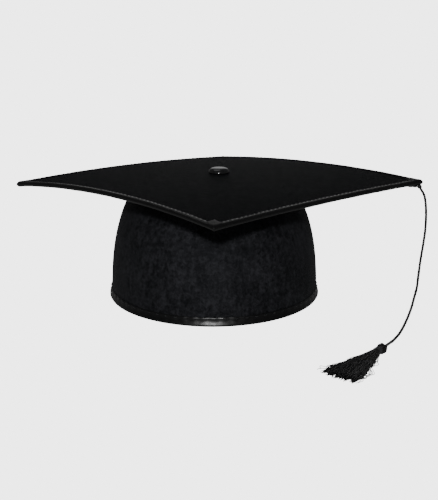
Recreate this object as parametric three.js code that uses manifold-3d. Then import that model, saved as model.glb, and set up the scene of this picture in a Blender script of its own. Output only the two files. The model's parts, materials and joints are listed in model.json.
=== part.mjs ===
// Graduation cap (mortarboard): a fabric-covered square board with taped edges, a crown that fits the
// head, a button riveted through the board's middle, and a tassel on a cord under the right corner.
// Millimetres, +Z up. The cap stands on its rim on z = 0 and its front corner points to -Y.
import * as THREE from 'three';
import { mergeVertices } from 'three/addons/utils/BufferGeometryUtils.js';
import Module from 'manifold-3d';

const wasm = await Module();
wasm.setup();

// Driving dimensions
const gap = 0.2;            // between two layers that lie on each other
const cutGap = 0.3;         // between two pieces where one is cut by or stands on the other
const boardSide = 240;
const boardTop = 102;       // top of the board's middle
const coverThickness = 0.4;
const coreThickness = 1.4;
const tapeThickness = 0.4;
const tapeWidth = 4.6;      // how far the edge tape reaches in from the edge

// How far the tape's top lies below the board's middle: a soft board sags at its corners.
const boardDrop = [
  { left: 7.5, middle: 4.7, right: 5.7 },     // front corner, front right side, right corner
  { left: -0.1, middle: 0, right: 5.6 },      // front left side, middle, back right side
  { left: 8.9, middle: 8.9, right: 16 },      // left corner, back left side, back corner
];

const crownHalfWidth = 86.6;
const crownRatio = 1.21;    // front to back over side to side
const crownRoundness = 128; // height at which the crown's dome would close
const crownFullness = 2.6;  // over 2, the dome's sides stand straighter than an ellipse's
const crownShift = -4;      // the crown sits a little left of the board's middle
const panelThickness = 1.2;
const stiffenerThickness = 0.8;
const liningThickness = 0.5;
const crownTopThickness = 1.2;
const seamBehindMiddle = 25;
const stiffenerOverlap = 20;

const bandThickness = 0.8;  // sweatband
const bandHeight = 30;
const rimTapeThickness = 0.5;
const rimTapeHeight = 7.5;
const elasticThickness = 0.8;
const elasticWidth = 18;
const elasticHeight = 12;   // its lower edge
const elasticBehind = 70;

const buttonRadius = 8.75;
const buttonHeight = 4.4;
const buttonWall = 1.1;
const rivetShank = 1.2;
const rivetPlate = 0.8;
const rivetEnd = 2.6;       // radius of the rivet's flattened end
const washerRadius = 7.5;
const washerThickness = 0.6;
const shankClearance = 0.4;

const tabLength = 12;
const tabWidth = 8;
const tabThickness = 2.2;
const tabInset = 4.7;         // from the board's right corner to the tab
const knotRadius = 1.8;
const cordDiameter = 1.9;

const tasselAngle = -122.6; // direction of the lying tassel, in degrees from +X
const headLength = 9;
const headRadius = 4.2;
const wrapLength = 4;
const wrapRadius = 3.2;
const skirtLength = 57;
const skirtHalfWidth = 15.5;
const skirtHalfHeight = 2.4;
const turnGap = 0.8;        // lets the head turn on the cord's end
const lyingClearance = 0.2; // under what lies on the surface

// Values worked out from them
const boardSteps = 10;      // facets along each side of the bowed board
const half = boardSide / 2;
const boardDiagonal = half * Math.SQRT2;
const coverTop = coreThickness / 2 + gap + coverThickness;
const tapeInner = coverTop + gap;
const tapeOuter = tapeInner + tapeThickness;
const stiffenerDepth = panelThickness + gap;
const liningDepth = stiffenerDepth + stiffenerThickness + gap;
const bandDepth = liningDepth + liningThickness + gap;
const rimBottom = rimTapeThickness + cutGap;
const washerTop = -coverTop - cutGap;
const rivetEndTop = washerTop - washerThickness - cutGap;
const crownTopUpper = -coverTop - cutGap;
const liningTop = rivetEndTop - washerThickness - cutGap;

function lagrange(low, middle, high, t) {
  return low * t * (t - 1) / 2 + middle * (1 - t * t) + high * t * (t + 1) / 2;
}

// Height of the board's mid-surface over the point (x, y).
function boardMiddle(x, y) {
  const along = (x + y) / boardDiagonal;
  const across = (y - x) / boardDiagonal;
  const rows = boardDrop.map((row) => lagrange(row.left, row.middle, row.right, along));
  return boardTop - tapeOuter - lagrange(rows[0], rows[1], rows[2], across);
}

// Moves a flat shape, whose z is counted from the board's mid-surface, onto the bowed board.
function bend(geometry) {
  const points = geometry.attributes.position;
  for (let i = 0; i < points.count; i += 1) {
    points.setZ(i, points.getZ(i) + boardMiddle(points.getX(i), points.getY(i)));
  }
  return geometry;
}

// A square slab between two heights from the mid-surface, bowed with the board.
function boardSlab(side, low, high, steps) {
  const slab = new THREE.BoxGeometry(side, side, high - low, steps, steps, 1);
  slab.translate(0, 0, (low + high) / 2);
  slab.rotateZ(Math.PI / 4);
  return bend(slab);
}

function block(low, high) {
  const box = new THREE.BoxGeometry(high[0] - low[0], high[1] - low[1], high[2] - low[2]);
  return box.translate((low[0] + high[0]) / 2, (low[1] + high[1]) / 2, (low[2] + high[2]) / 2);
}

// A closed outline of [radius, height] points turned about the vertical axis.
function turned(outline, segments) {
  const points = outline.map(([radius, height]) => new THREE.Vector2(radius, height));
  return new THREE.LatheGeometry(points, segments).rotateX(Math.PI / 2);
}

function solid(geometry) {
  const bare = geometry.clone();
  bare.deleteAttribute('normal');
  bare.deleteAttribute('uv');
  const merged = mergeVertices(bare, 1e-4);
  const mesh = new wasm.Mesh({
    numProp: 3,
    vertProperties: new Float32Array(merged.attributes.position.array),
    triVerts: new Uint32Array(merged.index.array),
  });
  return new wasm.Manifold(mesh);
}

function geometryOf(shape) {
  const mesh = shape.getMesh();
  const geometry = new THREE.BufferGeometry();
  geometry.setAttribute('position', new THREE.BufferAttribute(mesh.vertProperties, 3));
  geometry.setIndex(new THREE.BufferAttribute(mesh.triVerts, 1));
  geometry.computeVertexNormals();
  return geometry;
}

const cap = new THREE.Group();
cap.name = 'graduation_cap';

function add(parent, name, geometry, color, roughness, metalness = 0) {
  const material = new THREE.MeshStandardMaterial({ color, roughness, metalness });
  const mesh = new THREE.Mesh(geometry, material);
  mesh.name = name;
  parent.add(mesh);
  return mesh;
}

const feltBlack = 0x141417;
const satinBlack = 0x1d1d20;
const linerBlack = 0x18181a;
const cardGrey = 0x6a6660;
const steelGrey = 0x9a9a9c;

// Board: a stiff core between two covers, with the rivet's hole through all three
function rivetHole(radius) {
  const depth = 20;
  const hole = new THREE.CylinderGeometry(radius, radius, depth, 16).rotateX(Math.PI / 2);
  return solid(hole.translate(0, 0, boardMiddle(0, 0)));
}

// How far in from the edge a layer of this half height clears the inside of the rounded tape.
function insetInTape(halfHeight) {
  return tapeOuter - Math.sqrt(tapeInner ** 2 - halfHeight ** 2) + cutGap;
}

function boardLayer(low, high) {
  const inset = insetInTape(Math.max(Math.abs(low), Math.abs(high)));
  const slab = solid(boardSlab(boardSide - 2 * inset, low, high, boardSteps));
  return geometryOf(slab.subtract(rivetHole(rivetShank + shankClearance)));
}

add(cap, 'board_core', boardLayer(-coreThickness / 2, coreThickness / 2), cardGrey, 0.9);
add(cap, 'board_top_cover', boardLayer(coverTop - coverThickness, coverTop), feltBlack, 0.9);
add(cap, 'board_under_cover', boardLayer(-coverTop, coverThickness - coverTop), feltBlack, 0.9);

// Edge tape: a C-shaped section folded over the edge, run along each side with mitred ends
function tapeSection() {
  const arcSteps = 6;
  const outer = [];
  const inner = [];
  for (let i = 0; i <= arcSteps; i += 1) {
    const angle = Math.PI / 2 + Math.PI * i / arcSteps;
    outer.push([tapeOuter + tapeOuter * Math.cos(angle), tapeOuter * Math.sin(angle)]);
    inner.unshift([tapeOuter + tapeInner * Math.cos(angle), tapeInner * Math.sin(angle)]);
  }
  const topEnd = [[tapeWidth, tapeInner], [tapeWidth, tapeOuter]];
  const lowerEnd = [[tapeWidth, -tapeOuter], [tapeWidth, -tapeInner]];
  return [...topEnd, ...outer, ...lowerEnd, ...inner];
}

function edgeTape(turns) {
  const section = tapeSection();
  const steps = boardSteps;
  const corners = [];
  for (let i = 0; i <= steps; i += 1) {
    const share = 2 * i / steps - 1;
    for (const [inset, height] of section) {
      const reach = half - inset - cutGap;
      corners.push(share * reach, inset - half, height);
    }
  }
  const faces = [];
  const count = section.length;
  for (let i = 0; i < steps; i += 1) {
    for (let j = 0; j < count; j += 1) {
      const here = i * count + j;
      const next = i * count + (j + 1) % count;
      faces.push(here, next, here + count, next, next + count, here + count);
    }
  }
  const outline = section.map(([inset, height]) => new THREE.Vector2(inset, height));
  for (const [a, b, c] of THREE.ShapeUtils.triangulateShape(outline, [])) {
    const last = steps * count;
    faces.push(a, c, b, last + a, last + b, last + c);
  }
  const tape = new THREE.BufferGeometry();
  tape.setAttribute('position', new THREE.Float32BufferAttribute(corners, 3));
  tape.setIndex(faces);
  tape.rotateZ(Math.PI / 4 + turns * Math.PI / 2);
  bend(tape);
  tape.computeVertexNormals();
  return tape;
}

const tapeNames = ['front_right', 'back_right', 'back_left', 'front_left'];
tapeNames.forEach((side, turns) => add(cap, `binding_${side}`, edgeTape(turns), satinBlack, 0.45));

// Crown: layered shells of an oval dome, cut off by the board above them
function domeRadius(height, depth) {
  const closing = Math.abs(height / crownRoundness) ** crownFullness;
  return crownHalfWidth * Math.sqrt(1 - closing) - depth;
}

// Every layer turns its walls at the same heights, so that their flats stay side by side.
const crownSegments = 36;
const crownSteps = 5;
const bandLow = rimTapeHeight + cutGap;
const bandTop = bandLow + bandHeight;
const crownHigh = boardTop + 2;
const crownHeights = [0, bandLow, (bandLow + bandTop) / 2, bandTop];
for (let i = 1; i <= crownSteps; i += 1) {
  crownHeights.push(bandTop + (crownHigh - bandTop) * i / crownSteps);
}

function onCrown(geometry) {
  return geometry.scale(1, crownRatio, 1).translate(crownShift, 0, 0);
}

function crownShell(depth, thickness, low, high) {
  const between = crownHeights.filter((height) => height > low && height < high);
  const heights = [low, ...between, high];
  const outside = heights.map((height) => [domeRadius(height, depth), height]);
  const inside = heights.map((height) => [domeRadius(height, depth + thickness), height]).reverse();
  const outline = [...outside, ...inside, outside[0]];
  return solid(onCrown(turned(outline, crownSegments)));
}

function crownDome(depth, low) {
  const heights = [low, ...crownHeights.slice(1)];
  const wall = heights.map((height) => [domeRadius(height, depth), height]);
  const outline = [[0, low], ...wall, [0, heights.at(-1)]];
  return solid(onCrown(turned(outline, crownSegments)));
}

// Everything deeper than this far under the board's mid-surface.
function underBoard(depth) {
  return solid(boardSlab(boardSide, depth - boardTop - 20, depth, boardSteps));
}

function frontOf(y) {
  return solid(block([-boardSide, -boardSide, -20], [boardSide, y, boardTop + 20]));
}

function backOf(y) {
  return solid(block([-boardSide, y, -20], [boardSide, boardSide, boardTop + 20]));
}

const outerShell = crownShell(0, panelThickness, rimBottom, crownHigh).intersect(underBoard(crownTopUpper));
const frontPanel = outerShell.intersect(frontOf(seamBehindMiddle - cutGap / 2));
const backPanel = outerShell.intersect(backOf(seamBehindMiddle + cutGap / 2));
add(cap, 'crown_front_panel', geometryOf(frontPanel), feltBlack, 0.85);
add(cap, 'crown_back_panel', geometryOf(backPanel), feltBlack, 0.85);

const stiffener = crownShell(stiffenerDepth, stiffenerThickness, rimBottom, crownHigh)
  .intersect(underBoard(crownTopUpper))
  .intersect(frontOf(seamBehindMiddle + stiffenerOverlap));
add(cap, 'crown_stiffener', geometryOf(stiffener), cardGrey, 0.9);

const elastic = crownShell(stiffenerDepth, elasticThickness, elasticHeight, elasticHeight + elasticWidth)
  .intersect(backOf(elasticBehind));
add(cap, 'back_elastic', geometryOf(elastic), linerBlack, 0.8);

const lining = crownDome(liningDepth, rimBottom)
  .intersect(underBoard(liningTop))
  .subtract(crownDome(liningDepth + liningThickness, -1).intersect(underBoard(liningTop - liningThickness)));
add(cap, 'crown_lining', geometryOf(lining), linerBlack, 0.7);

const crownTop = crownDome(liningDepth + cutGap, rimBottom)
  .intersect(underBoard(crownTopUpper))
  .subtract(underBoard(crownTopUpper - crownTopThickness))
  .subtract(rivetHole(washerRadius + 1));
add(cap, 'crown_top', geometryOf(crownTop), cardGrey, 0.9);

const sweatband = crownShell(bandDepth, bandThickness, bandLow, bandTop);
add(cap, 'sweatband', geometryOf(sweatband), linerBlack, 0.6);

function rimTapeOutline() {
  const wall = crownHalfWidth - bandDepth - gap;
  const outside = crownHalfWidth + gap + rimTapeThickness;
  const inside = wall - rimTapeThickness;
  const round = rimTapeThickness / 2;
  return [
    [outside, round], [outside, rimTapeHeight - round],
    [outside - rimTapeThickness / 2, rimTapeHeight], [outside - rimTapeThickness, rimTapeHeight - round],
    [outside - rimTapeThickness, rimTapeThickness], [wall, rimTapeThickness],
    [wall, rimTapeHeight - round], [wall - rimTapeThickness / 2, rimTapeHeight],
    [inside, rimTapeHeight - round], [inside, round], [inside + round, 0], [outside - round, 0],
    [outside, round],
  ];
}

add(cap, 'rim_binding', onCrown(turned(rimTapeOutline(), crownSegments)), satinBlack, 0.5);

// Button: a domed cap closed by a rivet that passes through the board to a washer
const buttonBase = boardMiddle(0, 0) + coverTop + cutGap;
const button = new THREE.Group();
button.position.z = buttonBase;
cap.add(button);

function domeOutline(radius, height, wall) {
  const steps = 5;
  const outside = [];
  const inside = [];
  for (let i = 0; i <= steps; i += 1) {
    const angle = Math.PI / 2 * i / steps;
    const rise = Math.sin(angle) ** 0.8;
    outside.push([radius * Math.cos(angle), height * rise]);
    inside.unshift([(radius - wall) * Math.cos(angle), (height - wall) * rise]);
  }
  outside[steps][0] = 0;
  inside[0][0] = 0;
  return [...outside, ...inside];
}

function buttonDome() {
  const rim = 0.9;
  const dome = domeOutline(buttonRadius, buttonHeight - rim, buttonWall);
  const raised = dome.map(([radius, height]) => [radius, height + rim]);
  const outside = [buttonRadius, 0];
  return turned([...raised, [buttonRadius - buttonWall, 0], outside, raised[0]], 24);
}

function buttonRivet() {
  const plate = buttonRadius - buttonWall - cutGap;
  const end = boardMiddle(0, 0) + rivetEndTop - buttonBase;
  const outline = [
    [0, end - washerThickness], [rivetEnd, end - washerThickness], [rivetEnd, end],
    [rivetShank, end], [rivetShank, cutGap], [plate, cutGap], [plate, cutGap + rivetPlate],
    [0, cutGap + rivetPlate],
  ];
  return turned(outline, 24);
}

function buttonWasher() {
  const top = boardMiddle(0, 0) + washerTop - buttonBase;
  const bore = rivetShank + shankClearance;
  const outline = [
    [bore, top - washerThickness], [washerRadius, top - washerThickness], [washerRadius, top],
    [bore, top], [bore, top - washerThickness],
  ];
  return turned(outline, 24);
}

add(button, 'button_dome', buttonDome(), 0x101012, 0.25);
add(button, 'button_rivet', buttonRivet(), steelGrey, 0.4, 1);
add(button, 'button_washer', buttonWasher(), steelGrey, 0.4, 1);

// Tassel: the cord comes out of a tab under the right corner, knotted at the tab's end, hangs down to the
// surface and lies there
const tabMiddle = boardDiagonal - tabInset - tabLength / 2;
const tabTop = -tapeOuter - cutGap;
const tab = new THREE.BoxGeometry(tabLength, tabWidth, tabThickness, 2, 1, 1);
tab.translate(tabMiddle, 0, tabTop - tabThickness / 2);
add(cap, 'corner_tab', bend(tab), satinBlack, 0.5);

const knotX = boardDiagonal - tabInset + cutGap + knotRadius;
const knotZ = boardMiddle(knotX, 0) + tabTop - knotRadius;
const knot = add(cap, 'cord_knot', new THREE.SphereGeometry(knotRadius, 16, 10), satinBlack, 0.6);
knot.position.set(knotX, 0, knotZ);

// The cord's route, from the knot, which it leaves outwards and down, to the tassel's head
const leaving = THREE.MathUtils.degToRad(-60);
const knotReach = knotRadius + cutGap;
const cordRoute = [
  [knotX + knotReach * Math.cos(leaving), 0, knotZ + knotReach * Math.sin(leaving)],
  [171.6, -0.6, 82], [173.2, -1, 70], [173.2, -1, 55],
  [171.9, -1, 41.5], [170.2, -1, 28], [168.8, -1.2, 14], [167.8, -3, 5], [166, -9, 1.5],
  [161.7, -30, 1.3], [156.9, -54, 1.3], [149.3, -87, 1.3], [141, -118, 1.3],
  [133.8, -138.5, 1.5], [129.2, -150, 2.5], [125.8, -160, 4], [124.3, -164.5, 4.4],
];

function cordTube() {
  const sides = 8;
  const ring = [];
  for (let i = 0; i < sides; i += 1) {
    const angle = 2 * Math.PI * i / sides;
    ring.push(new THREE.Vector2(Math.cos(angle), Math.sin(angle)).multiplyScalar(cordDiameter / 2));
  }
  const route = new THREE.CatmullRomCurve3(cordRoute.map((point) => new THREE.Vector3(...point)));
  return new THREE.ExtrudeGeometry(new THREE.Shape(ring), { extrudePath: route, steps: 78 });
}

add(cap, 'tassel_cord', cordTube(), satinBlack, 0.7);

// The tassel lies along its own +X, from the head's tip to the skirt's end
const tassel = new THREE.Group();
const cordEnd = cordRoute.at(-1);
const tasselTurn = THREE.MathUtils.degToRad(tasselAngle);
tassel.rotation.z = tasselTurn;
tassel.position.set(
  cordEnd[0] + turnGap * Math.cos(tasselTurn),
  cordEnd[1] + turnGap * Math.sin(tasselTurn),
  headRadius + lyingClearance,
);
cap.add(tassel);

function lying(outline, segments) {
  return turned(outline, segments).rotateY(Math.PI / 2);
}

function headOutline() {
  const tip = cordDiameter / 2;
  return [
    [0, 0], [tip, 0], [headRadius * 0.75, headRadius * 0.6], [headRadius, headRadius * 1.25],
    [headRadius, headLength - 2], [wrapRadius, headLength], [0, headLength],
  ];
}

add(tassel, 'tassel_head', lying(headOutline(), 20), satinBlack, 0.6);

const wrapStart = headLength + cutGap;
const wrapEnd = wrapStart + wrapLength;
const wrapRound = 0.5;
const wrapOutline = [
  [0, wrapStart], [wrapRadius - wrapRound, wrapStart], [wrapRadius, wrapStart + wrapRound],
  [wrapRadius, wrapEnd - wrapRound], [wrapRadius - wrapRound, wrapEnd], [0, wrapEnd],
];
add(tassel, 'tassel_wrap', lying(wrapOutline, 20), satinBlack, 0.5);

// The skirt fans out flat from the wrap and rests on the surface
function skirtWidth(share) {
  return wrapRadius + (skirtHalfWidth - wrapRadius) * share;
}

function skirtGeometry() {
  const steps = 6;
  const start = wrapEnd + cutGap;
  const outline = [[0, 0]];
  for (let i = 0; i <= steps; i += 1) {
    const share = i / steps;
    outline.push([skirtWidth(share), share * skirtLength]);
  }
  outline.push([0, skirtLength]);
  const skirt = lying(outline, 24);
  const points = skirt.attributes.position;
  for (let i = 0; i < points.count; i += 1) {
    const share = points.getX(i) / skirtLength;
    const halfHeight = wrapRadius + (skirtHalfHeight - wrapRadius) * share;
    points.setZ(i, points.getZ(i) * halfHeight / skirtWidth(share) + halfHeight - headRadius);
  }
  skirt.computeVertexNormals();
  return skirt.translate(start, 0, 0);
}

add(tassel, 'tassel_skirt', skirtGeometry(), satinBlack, 0.75);

export default cap;
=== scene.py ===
# Graduation cap: the visual pieces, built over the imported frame. Metres, +Z up, front corner to -Y.
import json
import math
import bmesh
import bpy
import numpy as np
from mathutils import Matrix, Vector, noise
from mathutils.bvhtree import BVHTree

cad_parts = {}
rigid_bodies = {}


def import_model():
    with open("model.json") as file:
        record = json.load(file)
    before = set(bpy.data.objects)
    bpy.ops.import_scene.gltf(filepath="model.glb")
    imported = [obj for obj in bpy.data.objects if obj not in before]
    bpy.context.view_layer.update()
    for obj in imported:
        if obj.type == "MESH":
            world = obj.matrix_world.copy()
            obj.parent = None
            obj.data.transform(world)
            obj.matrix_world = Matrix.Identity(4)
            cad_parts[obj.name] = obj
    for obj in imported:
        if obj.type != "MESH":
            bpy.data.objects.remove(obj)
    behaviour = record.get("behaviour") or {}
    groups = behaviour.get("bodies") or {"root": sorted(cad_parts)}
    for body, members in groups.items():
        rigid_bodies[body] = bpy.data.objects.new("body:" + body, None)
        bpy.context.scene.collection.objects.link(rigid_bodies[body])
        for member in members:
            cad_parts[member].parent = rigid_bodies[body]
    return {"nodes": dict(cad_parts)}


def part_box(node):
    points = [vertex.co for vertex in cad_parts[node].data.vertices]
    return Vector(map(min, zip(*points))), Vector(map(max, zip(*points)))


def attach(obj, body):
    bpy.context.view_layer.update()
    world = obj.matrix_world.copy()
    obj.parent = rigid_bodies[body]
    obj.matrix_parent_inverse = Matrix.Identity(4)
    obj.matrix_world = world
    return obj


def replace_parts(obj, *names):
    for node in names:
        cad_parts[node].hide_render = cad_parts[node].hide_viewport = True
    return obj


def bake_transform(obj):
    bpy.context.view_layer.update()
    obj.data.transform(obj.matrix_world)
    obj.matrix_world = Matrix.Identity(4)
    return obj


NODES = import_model()["nodes"]
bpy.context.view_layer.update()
RNG = np.random.default_rng(7)
MM = 0.001


# ---- Camera ----

CAMERA_AZIMUTH = math.radians(1.2)
CAMERA_ELEVATION = math.radians(14)
CAMERA_DISTANCE = 1.1
CAMERA_AIM = Vector((0, 0, 0.0352))
CAMERA_LENS = 93.6  # mm


def make_camera():
    data = bpy.data.cameras.new("camera")
    data.lens = CAMERA_LENS
    camera = bpy.data.objects.new("camera", data)
    bpy.context.collection.objects.link(camera)
    back = Vector((
        math.sin(CAMERA_AZIMUTH) * math.cos(CAMERA_ELEVATION),
        -math.cos(CAMERA_AZIMUTH) * math.cos(CAMERA_ELEVATION),
        math.sin(CAMERA_ELEVATION),
    ))
    camera.location = CAMERA_AIM + back * CAMERA_DISTANCE
    camera.rotation_mode = "QUATERNION"
    camera.rotation_quaternion = back.to_track_quat("Z", "Y")
    bpy.context.scene.camera = camera


make_camera()


# ---- Measures taken from the frame ----

def corners(node):
    low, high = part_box(node)
    return np.array(low), np.array(high)


def middle(node):
    low, high = corners(node)
    return (low + high) / 2


def extent(node):
    low, high = corners(node)
    return high - low


def from_sides(u, v):
    """X and Y of a place given along the board's own sides, from its middle."""
    return (u - v) / math.sqrt(2), (u + v) / math.sqrt(2)


def top_heights(node, reach):
    """Heights of a node's upper face on a 3 by 3 grid along the board's sides, reach from the middle."""
    tree = BVHTree.FromObject(NODES[node], bpy.context.evaluated_depsgraph_get())
    rows = []
    for v in (-reach, OFF_CENTRE, reach):
        row = []
        for u in (-reach, OFF_CENTRE, reach):
            hit = tree.ray_cast(Vector((*from_sides(u, v), 1)), Vector((0, 0, -1)))[0]
            row.append(hit.z)
        rows.append(row)
    return np.array(rows)


CORE_INSET = 1.2 * MM  # the card's corner, in from the bound board's corner
HALF = (extent("board_core")[0] / 2 + CORE_INSET) / math.sqrt(2)  # half the board's side
OFF_CENTRE = 6 * MM  # keeps the middle ray off the rivet's hole
SAMPLE_REACH = HALF - 8 * MM  # keeps the outer rays on the felt, inside the tape
HEIGHTS = top_heights("board_top_cover", SAMPLE_REACH)
COVER_THICKNESS = 0.4 * MM
TAPE_PROUD = 0.6 * MM  # the tape's top above the cover's top
TAPE_HALF = 1.9 * MM  # half the taped edge's thickness


def three_point(a, b, c, t, ta, tb, tc):
    """The quadratic through a at ta, b at tb and c at tc, at t."""
    return (a * (t - tb) * (t - tc) / ((ta - tb) * (ta - tc))
            + b * (t - ta) * (t - tc) / ((tb - ta) * (tb - tc))
            + c * (t - ta) * (t - tb) / ((tc - ta) * (tc - tb)))


def board_middle(x, y):
    """Height of the board's mid-surface over a point."""
    u = (x + y) / math.sqrt(2)
    v = (y - x) / math.sqrt(2)
    at = (-SAMPLE_REACH, OFF_CENTRE, SAMPLE_REACH)
    rows = [three_point(*row, u, *at) for row in HEIGHTS]
    return three_point(*rows, v, *at) + TAPE_PROUD - TAPE_HALF


# ---- Mesh helpers ----

def add_mesh(name, points, faces, material, body="cap"):
    """A smooth piece riding on a body; with no body it is left free."""
    mesh = bpy.data.meshes.new(name)
    mesh.from_pydata([tuple(p) for p in np.asarray(points, float)], [], [tuple(f) for f in faces])
    shaped = bmesh.new()
    shaped.from_mesh(mesh)
    bmesh.ops.recalc_face_normals(shaped, faces=shaped.faces)
    shaped.to_mesh(mesh)
    shaped.free()
    mesh.shade_smooth()
    mesh.materials.append(material)
    piece = bpy.data.objects.new(name, mesh)
    bpy.context.collection.objects.link(piece)
    if body:
        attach(piece, body)
    return piece


def strip_faces(rows, columns, wrap=False, start=0, flip=False):
    """Faces between the rows of a grid of points; wrap also closes each row."""
    faces = []
    for i in range(rows - 1):
        for j in range(columns if wrap else columns - 1):
            k = (j + 1) % columns
            a, b = start + i * columns + j, start + i * columns + k
            c, d = b + columns, a + columns
            faces.append((a, d, c, b) if flip else (a, b, c, d))
    return faces


def ring_faces(rows, columns, flip=False):
    """Faces of a grid whose rows are closed, and whose last row joins its first."""
    faces = strip_faces(rows + 1, columns, True, 0, flip)
    return [tuple(place % (rows * columns) for place in face) for face in faces]


def tube_faces(rows, sides, start=0):
    """Faces of a tube with closed ends."""
    last = start + (rows - 1) * sides
    ends = [tuple(start + j for j in range(sides)), tuple(last + j for j in reversed(range(sides)))]
    return strip_faces(rows, sides, True, start, True) + ends


def shell_mesh(outer, inner, wrap):
    """Points and faces of a closed sheet between two grids of points, rows by columns."""
    rows, columns = outer.shape[:2]
    count = rows * columns
    faces = strip_faces(rows, columns, wrap) + strip_faces(rows, columns, wrap, count, True)
    for j in range(columns if wrap else columns - 1):
        k = (j + 1) % columns
        faces.append((k, j, count + j, count + k))
        last = (rows - 1) * columns
        faces.append((last + j, last + k, count + last + k, count + last + j))
    if not wrap:
        for i in range(rows - 1):
            a, b = i * columns, (i + 1) * columns
            faces.append((a, b, count + b, count + a))
            a, b = a + columns - 1, b + columns - 1
            faces.append((b, a, count + a, count + b))
    return np.concatenate([outer.reshape(-1, 3), inner.reshape(-1, 3)]), faces


def shell_piece(name, node, outer, inner, wrap, material):
    """A closed sheet between two grids of points, in place of a CAD node."""
    points, faces = shell_mesh(np.array(outer), np.array(inner), wrap)
    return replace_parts(add_mesh(name, points, faces, material), node)


def set_cloth(piece, values):
    """Stores each point's place on the cloth, in metres, for the weave and thread materials."""
    store = piece.data.attributes.new("cloth", "FLOAT_VECTOR", "POINT")
    store.data.foreach_set("vector", np.asarray(values, np.float32).reshape(-1))


def parallel_frames(line):
    """Two side directions at each point of a line, carried along without twisting."""
    tangents = np.gradient(line, axis=0)
    tangents /= np.linalg.norm(tangents, axis=1)[:, None]
    start = np.cross(tangents[0], (0, 0, 1.0))
    if np.linalg.norm(start) < 0.1:
        start = np.cross(tangents[0], (0, 1.0, 0))
    sides = [start / np.linalg.norm(start)]
    for t in tangents[1:]:
        side = sides[-1] - t * np.dot(sides[-1], t)
        sides.append(side / np.linalg.norm(side))
    sides = np.array(sides)
    return sides, np.cross(tangents, sides)


def around(sides):
    """This many angles, evenly round a circle."""
    return 2 * math.pi * np.arange(sides) / sides


def ring_points(line, radii, angles):
    """Points round a line at these angles; radii has a row for each point of the line."""
    side, up = parallel_frames(line)
    way = side[:, None] * np.cos(angles)[None, :, None] + up[:, None] * np.sin(angles)[None, :, None]
    return line[:, None] + way * radii[..., None]


def tube_mesh(line, radius, sides, start):
    """Points, faces and cloth places of a closed round tube; radius is one value or one for each point."""
    line = np.asarray(line, float)
    radius = np.broadcast_to(radius, len(line))
    angles = around(sides)
    points = ring_points(line, radius[:, None], angles)
    along = np.concatenate([[0], np.cumsum(np.linalg.norm(np.diff(line, axis=0), axis=1))])
    cloth = np.zeros(points.shape)
    cloth[..., 0] = along[:, None]
    cloth[..., 1] = angles * radius.mean()
    return points.reshape(-1, 3), tube_faces(len(line), sides, start), cloth.reshape(-1, 3)


def tubes_piece(name, lines, radii, material, body, sides):
    """Many threads joined in one piece."""
    points, faces, cloth = [], [], []
    start = 0
    for line, radius in zip(lines, radii):
        p, f, c = tube_mesh(line, radius, sides, start)
        points.append(p)
        faces += f
        cloth.append(c)
        start += len(p)
    piece = add_mesh(name, np.concatenate(points), faces, material, body)
    set_cloth(piece, np.concatenate(cloth))
    return piece


def smooth_line(points, count):
    """A Catmull-Rom curve through points, at count places evenly along its length."""
    points = np.asarray(points, float)
    padded = np.concatenate([[2 * points[0] - points[1]], points, [2 * points[-1] - points[-2]]])
    fine = []
    for i in range(1, len(padded) - 2):
        a, b, c, d = padded[i - 1:i + 3]
        for t in np.linspace(0, 1, 40, endpoint=False):
            fine.append(0.5 * (2 * b + (c - a) * t + (2 * a - 5 * b + 4 * c - d) * t ** 2
                               + (3 * b - a - 3 * c + d) * t ** 3))
    fine = np.array(fine + [points[-1]])
    along = np.concatenate([[0], np.cumsum(np.linalg.norm(np.diff(fine, axis=0), axis=1))])
    places = np.linspace(0, along[-1], count)
    return np.stack([np.interp(places, along, fine[:, k]) for k in range(3)], axis=1)


def line_length(points):
    return float(np.linalg.norm(np.diff(np.asarray(points, float), axis=0), axis=1).sum())


def wobble(point, scale, seed):
    """Smooth noise from -1 to 1 with features of this size in metres."""
    return noise.noise(Vector(point) / scale + Vector((seed, 1.7 * seed, -seed)))


# ---- Materials ----

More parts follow.
